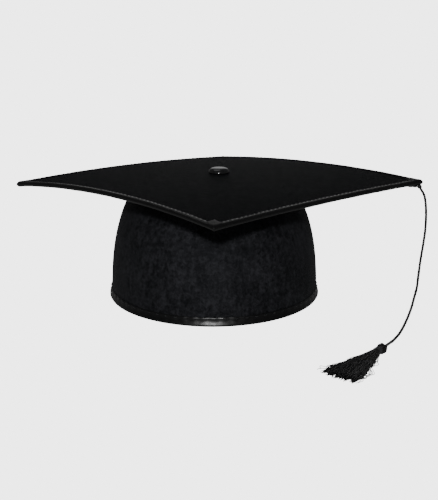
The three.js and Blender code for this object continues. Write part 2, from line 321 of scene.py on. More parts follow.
class Shader:
    """A new material's or world's node tree, with short calls for the nodes that these share."""

    def __init__(self, name, kind="materials"):
        self.owner = getattr(bpy.data, kind).new(name)
        self.owner.use_nodes = True
        self.nodes = self.owner.node_tree.nodes
        self.links = self.owner.node_tree.links
        self.shader = self.nodes.get("Principled BSDF")

    def node(self, kind, **values):
        made = self.nodes.new(kind)
        for key, value in values.items():
            setattr(made, key, value)
        return made

    def link(self, output, socket):
        self.links.new(output, socket)

    def set(self, **values):
        for key, value in values.items():
            self.shader.inputs[key.replace("_", " ")].default_value = value

    def place(self, source, scale=(1, 1, 1), turn=0.0):
        """Object or cloth coordinates, scaled."""
        mapping = self.node("ShaderNodeMapping")
        mapping.inputs["Scale"].default_value = scale
        mapping.inputs["Rotation"].default_value = (0, 0, turn)
        if source == "cloth":
            self.link(self.node("ShaderNodeAttribute", attribute_name="cloth").outputs["Vector"],
                      mapping.inputs["Vector"])
        else:
            self.link(self.node("ShaderNodeTexCoord").outputs["Object"], mapping.inputs["Vector"])
        return mapping.outputs["Vector"]

    def noise(self, where, scale, detail=3, roughness=0.55, distortion=0.0):
        made = self.node("ShaderNodeTexNoise")
        self.link(where, made.inputs["Vector"])
        made.inputs["Scale"].default_value = scale
        made.inputs["Detail"].default_value = detail
        made.inputs["Roughness"].default_value = roughness
        made.inputs["Distortion"].default_value = distortion
        return made.outputs["Fac"]

    def wave(self, where, scale, distortion, direction="X"):
        made = self.node("ShaderNodeTexWave", bands_direction=direction)
        self.link(where, made.inputs["Vector"])
        made.inputs["Scale"].default_value = scale
        made.inputs["Distortion"].default_value = distortion
        made.inputs["Detail"].default_value = 2
        return made.outputs["Fac"]

    def math(self, operation, a, b):
        made = self.node("ShaderNodeMath", operation=operation)
        for socket, value in zip(made.inputs, (a, b)):
            if isinstance(value, (int, float)):
                socket.default_value = value
            else:
                self.link(value, socket)
        return made.outputs["Value"]

    def mix(self, a, share_a, b, share_b):
        """Two textures added together in these shares."""
        return self.math("ADD", self.math("MULTIPLY", a, share_a), self.math("MULTIPLY", b, share_b))

    def spread(self, value, low, high, start=0.3, end=0.7):
        """Maps a texture's start..end to low..high."""
        made = self.node("ShaderNodeMapRange")
        self.link(value, made.inputs["Value"])
        for key, number in (("From Min", start), ("From Max", end), ("To Min", low), ("To Max", high)):
            made.inputs[key].default_value = number
        return made.outputs["Result"]

    def colours(self, value, *stops):
        """Colour from a texture: each stop is (position, (r, g, b))."""
        made = self.node("ShaderNodeValToRGB")
        ramp = made.color_ramp
        while len(ramp.elements) < len(stops):
            ramp.elements.new(0.5)
        for element, (position, colour) in zip(ramp.elements, stops):
            element.position = position
            element.color = (*colour, 1)
        self.link(value, made.inputs["Fac"])
        self.link(made.outputs["Color"], self.shader.inputs["Base Color"])

    def rough(self, value):
        self.link(value, self.shader.inputs["Roughness"])

    def bumps(self, *layers):
        """Each layer is (height, strength, distance in metres)."""
        normal = None
        for height, strength, distance in layers:
            made = self.node("ShaderNodeBump")
            made.inputs["Strength"].default_value = strength
            made.inputs["Distance"].default_value = distance
            self.link(height, made.inputs["Height"])
            if normal is not None:
                self.link(normal, made.inputs["Normal"])
            normal = made.outputs["Normal"]
        self.link(normal, self.shader.inputs["Normal"])


def felt(name, dark, light, specular, softness=0.3):
    """Needled felt: matted fibres and pills, with soft patches and streaks in the share softness."""
    s = Shader(name)
    where = s.place("object")
    upright = s.place("object", (1, 1, 0.12))
    clouds = s.noise(where, 45, 3, 0.5)
    streak = s.noise(upright, 300, 3, 0.55)
    fibres = s.noise(where, 1700, 5, 0.7, 1.6)
    pills = s.noise(where, 300, 5, 0.75, 0.6)
    soft = s.mix(clouds, 0.5, streak, 0.5)
    sharp = s.mix(pills, 0.75, fibres, 0.25)
    tint = s.mix(soft, softness, sharp, 1 - softness)
    between = [0.6 * a + 0.4 * b for a, b in zip(dark, light)]
    s.colours(tint, (0.42, dark), (0.5, between), (0.58, light))
    s.rough(s.spread(pills, 0.48, 0.66))
    s.set(Specular_IOR_Level=specular, Sheen_Weight=0.01, Sheen_Roughness=0.5)
    s.set(Sheen_Tint=(0.75, 0.78, 0.9, 1), Specular_Tint=(0.85, 0.9, 1, 1))
    s.bumps((clouds, 0.2, 0.0008), (streak, 0.25, 0.0003), (pills, 0.8, 0.0007), (fibres, 0.8, 0.0004))
    return s.owner


def satin(name, dark, light, roughness, specular=0.4):
    """Satin tape: fine twill on the bias, streaks along the tape, and a soft gloss."""
    s = Shader(name)
    cloth = s.place("cloth")
    slanted = s.place("cloth", turn=math.radians(62))
    stretched = s.place("cloth", (0.12, 1, 1))
    twill = s.wave(slanted, 420, 0.6)
    streaks = s.noise(stretched, 1400, 3)
    folds = s.noise(cloth, 240, 3)
    s.colours(s.mix(streaks, 0.6, twill, 0.3), (0.3, dark), (0.6, light))
    s.rough(s.spread(streaks, *roughness))
    s.set(Specular_IOR_Level=specular, Sheen_Weight=0.03, Sheen_Roughness=0.3)
    s.bumps((folds, 0.2, 0.0006), (streaks, 0.15, 0.0002), (twill, 0.2, 0.00008))
    return s.owner


def thread(name, dark, light, pitch=0.0011):
    """Silky twisted thread: slanted fibres round it, and a narrow highlight."""
    s = Shader(name)
    slanted = s.place("cloth", (1, 0.8, 1), math.radians(35))
    twist = s.wave(slanted, 1 / pitch / 2, 1.2)
    hairs = s.noise(s.place("cloth", (0.3, 1, 1)), 6000, 3)
    s.colours(s.mix(twist, 0.5, hairs, 0.5), (0.3, dark), (0.75, light))
    s.rough(s.spread(hairs, 0.32, 0.55))
    s.set(Specular_IOR_Level=0.4, Anisotropic=0.4, Sheen_Weight=0.05, Sheen_Roughness=0.3)
    s.bumps((twist, 0.6, 0.00012), (hairs, 0.4, 0.00006))
    return s.owner


def gloss_plastic(name, dark, light):
    """Moulded gloss plastic with fine handling marks."""
    s = Shader(name)
    where = s.place("object")
    haze = s.noise(where, 600, 4, 0.6)
    marks = s.noise(s.place("object", (1, 0.1, 1), math.radians(30)), 5200, 2)
    s.colours(haze, (0.35, dark), (0.7, light))
    s.rough(s.spread(s.math("MULTIPLY", haze, marks), 0.1, 0.26, 0.1, 0.45))
    s.set(Specular_IOR_Level=0.5, Coat_Weight=0.3, Coat_Roughness=0.08)
    s.bumps((haze, 0.12, 0.00012), (marks, 0.08, 0.00003))
    return s.owner


def taffeta(name, dark, light):
    """Plain-woven lining cloth with a slight crumple."""
    s = Shader(name)
    where = s.place("cloth")
    warp = s.wave(where, 1100, 0.3)
    weft = s.wave(where, 1100, 0.3, "Y")
    weave = s.math("MAXIMUM", warp, weft)
    crumple = s.noise(s.place("object"), 90, 4)
    s.colours(s.mix(weave, 0.4, crumple, 0.6), (0.35, dark), (0.75, light))
    s.rough(s.spread(crumple, 0.45, 0.65))
    s.set(Specular_IOR_Level=0.4, Sheen_Weight=0.1, Sheen_Roughness=0.35)
    s.bumps((crumple, 0.4, 0.001), (weave, 0.35, 0.0001))
    return s.owner


def card(name):
    """Pressed grey board with flecks."""
    s = Shader(name)
    where = s.place("object")
    flecks = s.noise(where, 900, 4, 0.7)
    clouds = s.noise(where, 60, 4)
    s.colours(s.mix(flecks, 0.5, clouds, 0.5), (0.35, (0.09, 0.085, 0.075)), (0.7, (0.2, 0.19, 0.17)))
    s.rough(s.spread(flecks, 0.8, 0.95))
    s.bumps((flecks, 0.4, 0.0002))
    return s.owner


def steel(name):
    """Plain stamped steel with a turned grain."""
    s = Shader(name)
    grain = s.noise(s.place("object", (1, 1, 8)), 2200, 3)
    s.colours(grain, (0.3, (0.4, 0.4, 0.41)), (0.7, (0.6, 0.6, 0.61)))
    s.rough(s.spread(grain, 0.28, 0.45))
    s.set(Metallic=1.0)
    s.bumps((grain, 0.2, 0.00005))
    return s.owner


# The board's felt is a darker copy of the crown's felt: its colour is darkened as painted shade against the
# light that falls on the board's top.
BOARD_FELT_PAINTED_SHADE = felt("board_felt", (0.0008, 0.0008, 0.0008), (0.0035, 0.0035, 0.0036), 0.015, 0.1)
CROWN_FELT = felt("crown_felt", (0.0004, 0.0004, 0.0005), (0.024, 0.024, 0.0275), 0.17)
EDGE_SATIN = satin("edge_satin", (0.001, 0.001, 0.0011), (0.004, 0.004, 0.0045), (0.2, 0.36))
FOLD_SATIN = satin("fold_satin", (0.001, 0.001, 0.0012), (0.004, 0.004, 0.005), (0.35, 0.5), 0.24)
RIM_SATIN = satin("rim_satin", (0.001, 0.001, 0.0011), (0.004, 0.004, 0.0046), (0.3, 0.4))
STITCH_THREAD = thread("stitch_thread", (0.006, 0.006, 0.007), (0.04, 0.04, 0.044), 0.0006)
TASSEL_THREAD = thread("tassel_thread", (0.0008, 0.0008, 0.001), (0.005, 0.005, 0.0058))
CORD_THREAD = thread("cord_thread", (0.001, 0.001, 0.0012), (0.008, 0.008, 0.009))
BUTTON_PLASTIC = gloss_plastic("button_plastic", (0.004, 0.004, 0.0045), (0.012, 0.012, 0.013))
LINING = taffeta("lining_taffeta", (0.004, 0.004, 0.005), (0.014, 0.014, 0.016))
BAND_CLOTH = taffeta("band_cloth", (0.005, 0.005, 0.006), (0.018, 0.018, 0.02))
CARD = card("pressed_card")
STEEL = steel("stamped_steel")


def dress(node, material):
    """Gives a CAD node that stays its own material."""
    mesh = NODES[node].data
    mesh.materials.clear()
    mesh.materials.append(material)


# ---- Tassel cord ----

KNOT = middle("cord_knot")
KNOT_REACH = extent("cord_knot")[0] / 2 + 0.3 * MM  # from the knot's middle to the cord's exit
LEAVING = math.radians(-60)  # the slope at which the cord leaves the knot, outwards and down
TASSEL_ANGLE = math.radians(-122.6)
TASSEL_WAY = np.array([math.cos(TASSEL_ANGLE), math.sin(TASSEL_ANGLE), 0])
HEAD_AXIS_Z = middle("tassel_head")[2]

CORD_ROUTE = [
    KNOT + np.array([math.cos(LEAVING), 0, math.sin(LEAVING)]) * KNOT_REACH,
    (0.1716, -0.0006, 0.082), (0.1732, -0.001, 0.070), (0.1732, -0.001, 0.055),
    (0.1719, -0.001, 0.0415), (0.1702, -0.001, 0.028), (0.1688, -0.0012, 0.014),
    (0.1678, -0.003, 0.005), (0.166, -0.009, 0.0015), (0.1617, -0.030, 0.0013),
    (0.1569, -0.054, 0.0013), (0.1493, -0.087, 0.0013), (0.141, -0.118, 0.0013),
    (0.1338, -0.1385, 0.0015), (0.1292, -0.150, 0.0025), (0.1258, -0.160, 0.004),
    (0.1243, -0.1645, 0.0044),
]
TIP = np.array(CORD_ROUTE[-1])  # where the cord meets the tassel, and its joint
CORD_DIAMETER = 1.9 * MM
CORD_PLIES = 3
CORD_PITCH = 6.4 * MM  # one turn of the plies
CORD_SIDES = 18
CORD_IN_TASSEL = 24 * MM  # the cord runs on through the head into the skirt


def make_cord():
    """Plies twisted together along the route, with slubs, from inside the knot on into the tassel."""
    in_knot = KNOT + (CORD_ROUTE[0] - KNOT) * 0.3
    in_tassel = [TIP + TASSEL_WAY * CORD_IN_TASSEL * share for share in (0.35, 0.7, 1)]
    line = smooth_line([in_knot, *CORD_ROUTE, *in_tassel], 900)
    length = line_length(line)
    along = np.linspace(0, length, len(line))[:, None]
    angles = around(CORD_SIDES)
    turn = 2 * math.pi * along / CORD_PITCH
    radii = 0.5 * CORD_DIAMETER * (1.02 + 0.14 * np.abs(np.cos(CORD_PLIES / 2 * (angles - turn))))
    slubs = [max(0, wobble((s, 0, 0), 8 * MM, 11) - 0.35) for s in along[:, 0]]
    radii *= (1 + 0.5 * np.array(slubs))[:, None]
    points = ring_points(line, radii, angles)
    points[..., 2] = np.maximum(points[..., 2], 0.1 * MM)
    cord = add_mesh("cord_twisted", points.reshape(-1, 3), tube_faces(len(line), CORD_SIDES),
                    CORD_THREAD, None)
    cloth = np.zeros(points.shape)
    cloth[..., 0] = along
    cloth[..., 1] = angles * CORD_DIAMETER / 2
    set_cloth(cord, cloth)
    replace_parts(cord, "tassel_cord")
    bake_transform(cord)
    return cord, line, length


cord_piece, cord_line, cord_length = make_cord()


# ---- Tassel ----

HEAD_RADIUS = extent("tassel_head")[2] / 2
HEAD_LENGTH = 10 * MM
WRAP_LENGTH = 4 * MM
WRAP_RADIUS = 2.75 * MM
NECK_HALF_WIDTH = 2.2 * MM  # of the threads inside the wrap
NECK_HALF_HEIGHT = 2.1 * MM
SKIRT_START = HEAD_LENGTH + WRAP_LENGTH - 1.5 * MM  # its threads start inside the wrap
SKIRT_LENGTH = 60 * MM
SKIRT_HALF_WIDTH = 15.5 * MM
SKIRT_SLANT = 0.05  # the skirt's right side is longer than its left
SKIRT_GROUPS = 5
THREADS_PER_GROUP = 42
SKIRT_STRAYS = 16
ACROSS = np.array([-TASSEL_WAY[1], TASSEL_WAY[0], 0])


def on_tassel(along, across, height):
    """A point given from the tassel's tip: along it, across it, and above the surface."""
    return TIP * (1, 1, 0) + TASSEL_WAY * along + ACROSS * across + np.array([0, 0, height])


def make_tassel_head():
    """A round knot of cord: loops wound over and over a core."""
    centre = on_tassel(HEAD_LENGTH * 0.52, 0, HEAD_AXIS_Z)
    strand = 0.85 * MM
    reach = HEAD_RADIUS - strand
    lines = []
    for turn in range(7):
        tilt = math.radians(-78 + 26 * turn)
        lean = math.radians(34 * math.sin(1.9 * turn))
        loop = []
        for t in np.linspace(0, 2 * math.pi, 44):
            along, round_it = 1.08 * reach * math.cos(t), reach * math.sin(t)
            along, sideways = (along * math.cos(lean) - round_it * math.sin(lean) * 0.4,
                               round_it * math.cos(lean * 0.5))
            loop.append(centre + TASSEL_WAY * along + ACROSS * sideways * math.cos(tilt)
                        + np.array([0, 0, sideways * math.sin(tilt)]))
        lines.append(loop)
    core = [on_tassel(a * MM, 0, HEAD_AXIS_Z) for a in np.linspace(0.9, 10.2, 12)]
    widths = HEAD_RADIUS * np.array([0.2, 0.5, 0.68, 0.76, 0.78, 0.78, 0.78, 0.76, 0.7, 0.62, 0.56, 0.52])
    radii = [strand] * len(lines) + [widths]
    return tubes_piece("tassel_knot", lines + [core], radii, TASSEL_THREAD, "tassel", 10)


def make_tassel_wrap():
    """Thread wound round the neck."""
    turns = 6.5
    line = []
    for t in np.linspace(0, 1, 150):
        angle = 2 * math.pi * turns * t
        line.append(on_tassel(HEAD_LENGTH + WRAP_LENGTH * t, WRAP_RADIUS * math.cos(angle),
                              HEAD_AXIS_Z + WRAP_RADIUS * math.sin(angle)))
    return tubes_piece("tassel_neck_wrap", [line], [0.42 * MM], STITCH_THREAD, "tassel", 8)


def skirt_strand(across, layer, length, bend, kink):
    """One crimped thread of the skirt, from the neck out to its end, lying on those below it."""
    length *= 1 + SKIRT_SLANT * across
    crimp = 0.35 * MM
    crimps = RNG.uniform(5, 8)
    start_height = HEAD_AXIS_Z + NECK_HALF_HEIGHT * layer
    end_height = (0.6 + 1.7 * (layer + 1)) * MM
    line = []
    seed = RNG.uniform(0, 90)
    for t in np.linspace(0, 1, 46):
        flare = min(1, 1.12 * t) ** 0.92
        spread = NECK_HALF_WIDTH + (SKIRT_HALF_WIDTH - NECK_HALF_WIDTH) * flare
        width = across * spread + bend * t * t
        sway = kink * noise.noise(Vector((seed, t * 5.5, 0)))
        sway += crimp * math.sin(2 * math.pi * crimps * t + seed)
        lift = 0.5 * kink * noise.noise(Vector((t * 6.5, seed, 4)))
        drop = min(t * 1.25, 1)
        height = start_height + (end_height - start_height) * drop + lift * t
        line.append(on_tassel(SKIRT_START + length * t, width + sway * min(1, 3 * t),
                              max(height, 0.5 * MM)))
    return line


def make_tassel_skirt():
    """Threads in groups, each group one piece, with a ragged end and a few strays."""
    for group in range(SKIRT_GROUPS):
        lines, radii = [], []
        for _ in range(THREADS_PER_GROUP):
            across = RNG.uniform(-1, 1)
            layer = RNG.uniform(-1, 1) * math.sqrt(max(0, 1 - 0.7 * across ** 2))
            ragged = 1 - 0.09 * abs(RNG.normal())
            length = SKIRT_LENGTH * max(0.62, ragged)
            line = skirt_strand(across * 0.93, layer, length, RNG.normal() * 0.8 * MM, 1.9 * MM)
            lines.append(line)
            ends = np.ones(len(line))
            ends[-3:] = (0.85, 0.6, 0.3)
            radii.append(RNG.uniform(0.42, 0.6) * MM * ends)
        tubes_piece(f"tassel_skirt_{group + 1}", lines, radii, TASSEL_THREAD, "tassel", 7)
    lines, radii = [], []
    for _ in range(SKIRT_STRAYS):
        across = RNG.choice((-1, 1)) * RNG.uniform(0.85, 1.05)
        line = skirt_strand(across, RNG.uniform(-0.8, 0.3), SKIRT_LENGTH * RNG.uniform(0.7, 1.03),
                            RNG.normal() * 2.2 * MM, 4.5 * MM)
        lines.append(line)
        radii.append(0.2 * MM)
    tubes_piece("tassel_strays", lines, radii, TASSEL_THREAD, "tassel", 6)


tassel_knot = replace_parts(make_tassel_head(), "tassel_head")
tassel_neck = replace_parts(make_tassel_wrap(), "tassel_wrap")
make_tassel_skirt()
skirt_pieces = [o for o in bpy.data.objects if o.name.startswith(("tassel_skirt_", "tassel_strays"))]
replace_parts(skirt_pieces[0], "tassel_skirt")


# ---- Board ----

COVER_TOP = 1.3 * MM  # the cover's face, from the board's mid-surface
COVER_SIDE = 2 * (HALF - 1.6 * MM)
COVER_RIPPLE = 0.12 * MM
COVER_STEPS = 97


def cover_point(u, v, height):
    """A point of a cover's face at a height from the board's mid-surface, slightly uneven."""
    x, y = from_sides(u, v)
    coarse, fine = wobble((x, y, 0), 50 * MM, 3), wobble((x, y, 0), 18 * MM, 8)
    uneven = COVER_RIPPLE * (coarse + 0.5 * fine)
    return x, y, board_middle(x, y) + height + uneven


def cover_grid(height):
    places = np.linspace(-COVER_SIDE / 2, COVER_SIDE / 2, COVER_STEPS)
    return [[cover_point(u, v, height) for u in places] for v in places]


def make_board_cover(name, node, low, high):
    """Felt glued over one face of the card, out to just under the tape."""
    cover = shell_piece(name, node, cover_grid(high), cover_grid(low), False, BOARD_FELT_PAINTED_SHADE)


make_board_cover("cover_top", "board_top_cover", COVER_TOP - COVER_THICKNESS, COVER_TOP)
make_board_cover("cover_under", "board_under_cover", -COVER_TOP, COVER_THICKNESS - COVER_TOP)


# ---- Edge binding ----

TAPE_WIDTH = 4.6 * MM
STITCH_PITCH = 4.4 * MM
STITCH_SHARE = 0.68  # how much of its pitch a stitch covers
# Each side's and corner's quarter turns from the first.
SIDES = {"front_right": 0, "back_right": 1, "back_left": 2, "front_left": 3}
CORNERS = {"right": 0, "back": 1, "left": 2, "front": 3}


def tape_ring(share_along):
    """The tape's outside in section, as (inset from the edge, height), pulled in at its stitches."""
    pull = 0.22 * MM * (0.5 + 0.5 * math.cos(2 * math.pi * share_along))
    hem = 0.35 * MM
    outer = [
        (TAPE_WIDTH - 0.1 * MM - pull, TAPE_HALF - hem), (TAPE_WIDTH - hem, TAPE_HALF),
        (TAPE_WIDTH * 0.75, TAPE_HALF + 0.12 * MM - 0.5 * pull), (TAPE_WIDTH * 0.5, TAPE_HALF + 0.14 * MM),
    ]
    for angle in np.linspace(90, 270, 13):
        a = math.radians(angle)
        outer.append((TAPE_HALF * (1 + 1.06 * math.cos(a)), TAPE_HALF * 1.06 * math.sin(a)))
    outer += [(TAPE_WIDTH * 0.5, -TAPE_HALF - 0.14 * MM), (TAPE_WIDTH * 0.75, -TAPE_HALF - 0.1 * MM),
              (TAPE_WIDTH - hem, -TAPE_HALF), (TAPE_WIDTH - 0.1 * MM, -TAPE_HALF + hem)]
    return outer


def tape_point(turns, along, inset, height):
    """A point on a side's tape: along the side from its middle, in from the edge, off mid-surface."""
    angle = math.pi / 4 + turns * math.pi / 2
    u, v = along, inset - HALF
    x = u * math.cos(angle) - v * math.sin(angle)
    y = u * math.sin(angle) + v * math.cos(angle)
    return np.array([x, y, board_middle(x, y) + height])


def make_edge_binding(side, turns):
    """The tape along one side: a C round the edge, mitred at both ends and slightly puckered."""
    steps = 420
    points, cloth = [], []
    for i in range(steps):
        share = 2 * i / (steps - 1) - 1
        section = tape_ring(share * HALF / STITCH_PITCH)
        inner = [(inset, height * 0.84) for inset, height in reversed(section)]
        for k, (inset, height) in enumerate(section + inner):
            reach = (HALF - inset) * share
            place = tape_point(turns, reach, inset, height)
            swell = 0.14 * MM * wobble((reach, turns, k * 0.4 * MM), 11 * MM, 5)
            place[2] += swell if height > 0 else -swell
            points.append(place)
            cloth.append((reach, k * 0.6 * MM, 0))
    count = len(points) // steps
    faces = strip_faces(steps, count, True)
    faces.append(tuple(reversed(range(count))))
    faces.append(tuple((steps - 1) * count + j for j in range(count)))
    tape = add_mesh(f"edge_tape_{side}", points, faces, EDGE_SATIN)
    set_cloth(tape, cloth)
    line_length(tape_ring(0))
    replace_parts(tape, f"binding_{side}")


def stitch_line(name, place, length, pitch=STITCH_PITCH, share=STITCH_SHARE, thread_radius=0.17 * MM):
    """A row of stitches along place(s), which gives (point, outward way) at a distance s."""
    lines = []
    count = int(length / pitch)
    for i in range(count):
        stitch = []
        for t in np.linspace(-0.5, 0.5, 7):
            s = (i + 0.5 + share * t) * length / count
            point, out = place(s)
            rise = 1.2 * thread_radius * math.cos(math.pi * t) - 0.05 * MM
            stitch.append(point + out * rise)
        lines.append(stitch)
    tubes_piece(name, lines, [thread_radius] * len(lines), STITCH_THREAD, "cap", 6)


def make_edge_stitches(side, turns):
    """The row of stitches through the tape's upper edge, along one side."""
    reach = HALF - TAPE_WIDTH - 4 * MM

    def place(s):
        point = tape_point(turns, s - reach, TAPE_WIDTH - 1.1 * MM, TAPE_HALF + 0.06 * MM)
        return point, np.array([0, 0, 1.0])

    stitch_line(f"edge_stitches_{side}", place, 2 * reach)


for side_name, quarter in SIDES.items():
    make_edge_binding(side_name, quarter)
    make_edge_stitches(side_name, quarter)


def make_corner_fold(name, turns):
    """The square of tape folded over a corner, with its diagonal crease."""
    size = 11 * MM
    round_off = TAPE_HALF * 1.16
    steps = 19
    upper, lower = [], []
    for i in range(steps):
        row_up, row_low = [], []
        for j in range(steps):
            a, b = size * i / (steps - 1), size * j / (steps - 1)
            crease = 0.3 * MM * math.exp(-((a - b) / (1.1 * MM)) ** 2)
            tip = max(0, a + b - math.hypot(a, b)) if max(a, b) < 2.4 * MM else min(a, b)
            near = min(a, b, 1.5 * tip)
            rounded = min(near, round_off)
            height = math.sqrt(2 * round_off * rounded - rounded ** 2)
            tuck = 0.5 * MM * max(0, (max(a, b) - size + 1.2 * MM) / (1.2 * MM)) ** 2
            height += (crease if near > 0.5 * MM else 0) - tuck
            point = tape_point(turns, HALF - a, b, 0)
            row_up.append(point + (0, 0, height))
            row_low.append(point + (0, 0, -height))
        upper.append(row_up)
        lower.append(row_low)
    points, faces = shell_mesh(np.array(upper), np.array(lower), False)
    fold = add_mesh(name, points, faces, FOLD_SATIN)
    set_cloth(fold, np.array(points) @ np.array([[1, 1, 0], [1, -1, 0], [0, 0, 1]]) / math.sqrt(2))


for corner, quarter in CORNERS.items():
    make_corner_fold(f"corner_fold_{corner}", quarter)


# ---- Crown ----

RIM_LOW, RIM_HIGH = corners("rim_binding")
CROWN_X = (RIM_LOW[0] + RIM_HIGH[0]) / 2
CROWN_RATIO = (RIM_HIGH[1] - RIM_LOW[1]) / (RIM_HIGH[0] - RIM_LOW[0])  # its length over its width
RIM_TAPE_PROUD = 0.7 * MM
CROWN_HALF_WIDTH = (RIM_HIGH[0] - RIM_LOW[0]) / 2 - RIM_TAPE_PROUD
CROWN_CLOSES = 128 * MM  # the height at which the dome would close
CROWN_FULLNESS = 2.6  # more makes it steeper below and rounder above
RIM_TAPE_HEIGHT = RIM_HIGH[2]
PANEL_THICKNESS = 1.2 * MM
PANEL_LOW = 0.8 * MM
PANEL_GIRTH = 290 * MM  # about how far a panel reaches round the crown
SEAM_GAP = 0.15 * MM  # from a seam's middle to a panel's edge
WEAVE_RADIUS = 90 * MM  # turns an angle round the crown into a length of cloth
SEAM_Y = (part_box("crown_front_panel")[1][1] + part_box("crown_back_panel")[0][1]) / 2
UNDER_BOARD = COVER_TOP + 0.3 * MM
BAND_LOW, BAND_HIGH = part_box("sweatband")[0][2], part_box("sweatband")[1][2]
ELASTIC_LOW, ELASTIC_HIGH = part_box("back_elastic")[0][2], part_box("back_elastic")[1][2]


def crown_radius(height, depth=0.0):
    """Half the crown's width at a height, depth in from its outer face."""
    closing = abs(height / CROWN_CLOSES) ** CROWN_FULLNESS
    return CROWN_HALF_WIDTH * math.sqrt(1 - closing) - depth


def crown_point(angle, height, depth=0.0):
    """A point of the crown, depth in from its outer face."""
    radius = crown_radius(height, depth)
    return np.array([CROWN_X + radius * math.cos(angle), CROWN_RATIO * radius * math.sin(angle), height])


def crown_top_height(angle, depth=0.0, under=UNDER_BOARD):
    """Height at which the crown meets the board, closer with each round."""
    height = 90 * MM
    for _ in range(6):
        x, y = crown_point(angle, height, depth)[:2]
        height = board_middle(x, y) - under
    return height


def crown_out(angle):
    """The level direction straight out of the crown."""
    out = np.array([math.cos(angle), math.sin(angle) / CROWN_RATIO, 0])
    return out / np.linalg.norm(out)


def seam_angle(height, gap):
    """Angle of the side seam at a height, moved gap along Y."""
    return math.asin((SEAM_Y + gap) / (CROWN_RATIO * crown_radius(height)))


def back_gather(angle, height):
    """How far the elastic's gathers stand out at the back."""
    middle_height = (ELASTIC_LOW + ELASTIC_HIGH) / 2
    near = math.exp(-((height - middle_height) / (16 * MM)) ** 2)
    back = max(0, math.sin(angle)) ** 6
    folds = 0.5 + 0.5 * math.sin(angle * 74 + 2.2 * wobble((angle, 0, 0), 0.21, 2))
    return 1.5 * MM * near * back * folds


def panel_angle(share, seam, front):
    """The angle at a share of the way round a panel, from one seam to the other."""
    if front:
        return -math.pi - seam + share * (math.pi + 2 * seam)
    return seam + share * (math.pi - 2 * seam)


def panel_height(angle, row, rows):
    return PANEL_LOW + (crown_top_height(angle) - PANEL_LOW) * row / (rows - 1)


def make_crown_panel(name, node, front):
    """One panel: felt pulled over the dome, its edges folded in at the side seams."""
    rows, columns = 60, 220
    outer, inner = [], []
    for i in range(rows):
        row_out, row_in = [], []
        for j in range(columns):
            share = j / (columns - 1)
            angle = panel_angle(share, seam_angle(PANEL_LOW, 0), front)
            seam = seam_angle(panel_height(angle, i, rows), -SEAM_GAP if front else SEAM_GAP)
            angle = panel_angle(share, seam, front)
            height = panel_height(angle, i, rows)
            from_seam = min(share, 1 - share) * PANEL_GIRTH
            fold = 1.0 * MM * math.exp(-from_seam / (1.3 * MM))
            place = crown_point(angle, height)
            uneven = 0.3 * MM * wobble(place * (1, 1, 0.35), 13 * MM, 4)
            uneven += 0.35 * MM * wobble(place * (1, 1, 0.2), 35 * MM, 9)
            near_rim = min(1, max(0, (height - RIM_TAPE_HEIGHT + 2 * MM) / (10 * MM)))
            gather = 0 if front else back_gather(angle, height)
            row_out.append(place + crown_out(angle) * (uneven * near_rim + gather * near_rim - fold))
            row_in.append(crown_point(angle, height, PANEL_THICKNESS + 0.1 * MM))
        outer.append(row_out)
        inner.append(row_in)
    panel = shell_piece(name, node, outer, inner, False, CROWN_FELT)


make_crown_panel("crown_front", "crown_front_panel", True)
make_crown_panel("crown_back", "crown_back_panel", False)


SEAM_STITCHES_TOP = 88 * MM  # just under the board


def make_seam_stitches(name, sign):
    """Topstitching in front of the right side seam, or with sign -1 of the left one."""
    low = RIM_TAPE_HEIGHT + 1 * MM

    def place(s):
        height = low + s
        angle = seam_angle(height, -3 * MM)
        if sign < 0:
            angle = math.pi - angle
        return crown_point(angle, height), crown_out(angle)

    stitch_line(name, place, SEAM_STITCHES_TOP - low)


make_seam_stitches("seam_stitches_right", 1)
make_seam_stitches("seam_stitches_left", -1)


RIM_STITCH_PITCH = 8.8 * MM
RIM_STITCH_DROP = 1.4 * MM  # below the tape's upper edge
RIM_REACH = CROWN_HALF_WIDTH * (1 + CROWN_RATIO) / 2  # the rim's mean radius


def make_rim_binding():
    """Tape folded under the crown's lower edge, outside and in, puckered at its stitches."""
    columns = 900
    leg = RIM_TAPE_HEIGHT
    thick = 0.5 * MM
    low_out = -RIM_TAPE_PROUD
    low_in = 3.3 * MM + thick
    outside = [
        (low_out + thick, leg - 0.5 * MM), (low_out + 0.3 * MM, leg),
        (low_out + 0.05 * MM, leg - 0.3 * MM), (low_out, leg - RIM_STITCH_DROP),
        (low_out - 0.1 * MM, leg * 0.6), (low_out - 0.4 * MM, leg * 0.42),
        (low_out - 0.85 * MM, leg * 0.25), (low_out - 1.0 * MM, 1.1 * MM),
    ]
    section = outside + [
        (low_out - 0.6 * MM, 0.35 * MM), (low_out + 0.4 * MM, 0.05 * MM), (1.2 * MM, 0),
        (low_in - 0.8 * MM, 0.05 * MM), (low_in - 0.2 * MM, 0.5 * MM), (low_in, 1.2 * MM),
        (low_in, leg * 0.6), (low_in - 0.1 * MM, leg - 0.2 * MM), (low_in - thick, leg - 0.1 * MM),
        (low_in - thick, 1.0 * MM), (low_out + thick, 1.0 * MM),
    ]
    grid, cloth = [], []
    for k, (depth, height) in enumerate(section):
        row = []
        for j in range(columns):
            angle = 2 * math.pi * j / columns
            length = angle * RIM_REACH
            pucker = 0
            if k < len(outside):
                near_top = math.exp(-((height - leg + RIM_STITCH_DROP) / (2.2 * MM)) ** 2)
                pull = 0.5 + 0.5 * math.cos(2 * math.pi * length / RIM_STITCH_PITCH)
                pucker = -0.3 * MM * near_top * pull
                pucker += 0.1 * MM * wobble((math.cos(angle), math.sin(angle), height * 40), 0.11, 6)
            row.append(crown_point(angle, height, depth) + crown_out(angle) * pucker)
            cloth.append((length, k * 0.8 * MM, 0))
        grid.append(row)
    faces = ring_faces(len(section), columns, True)
    rim = add_mesh("rim_tape", np.reshape(grid, (-1, 3)), faces, RIM_SATIN)
    set_cloth(rim, cloth)
    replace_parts(rim, "rim_binding")


make_rim_binding()


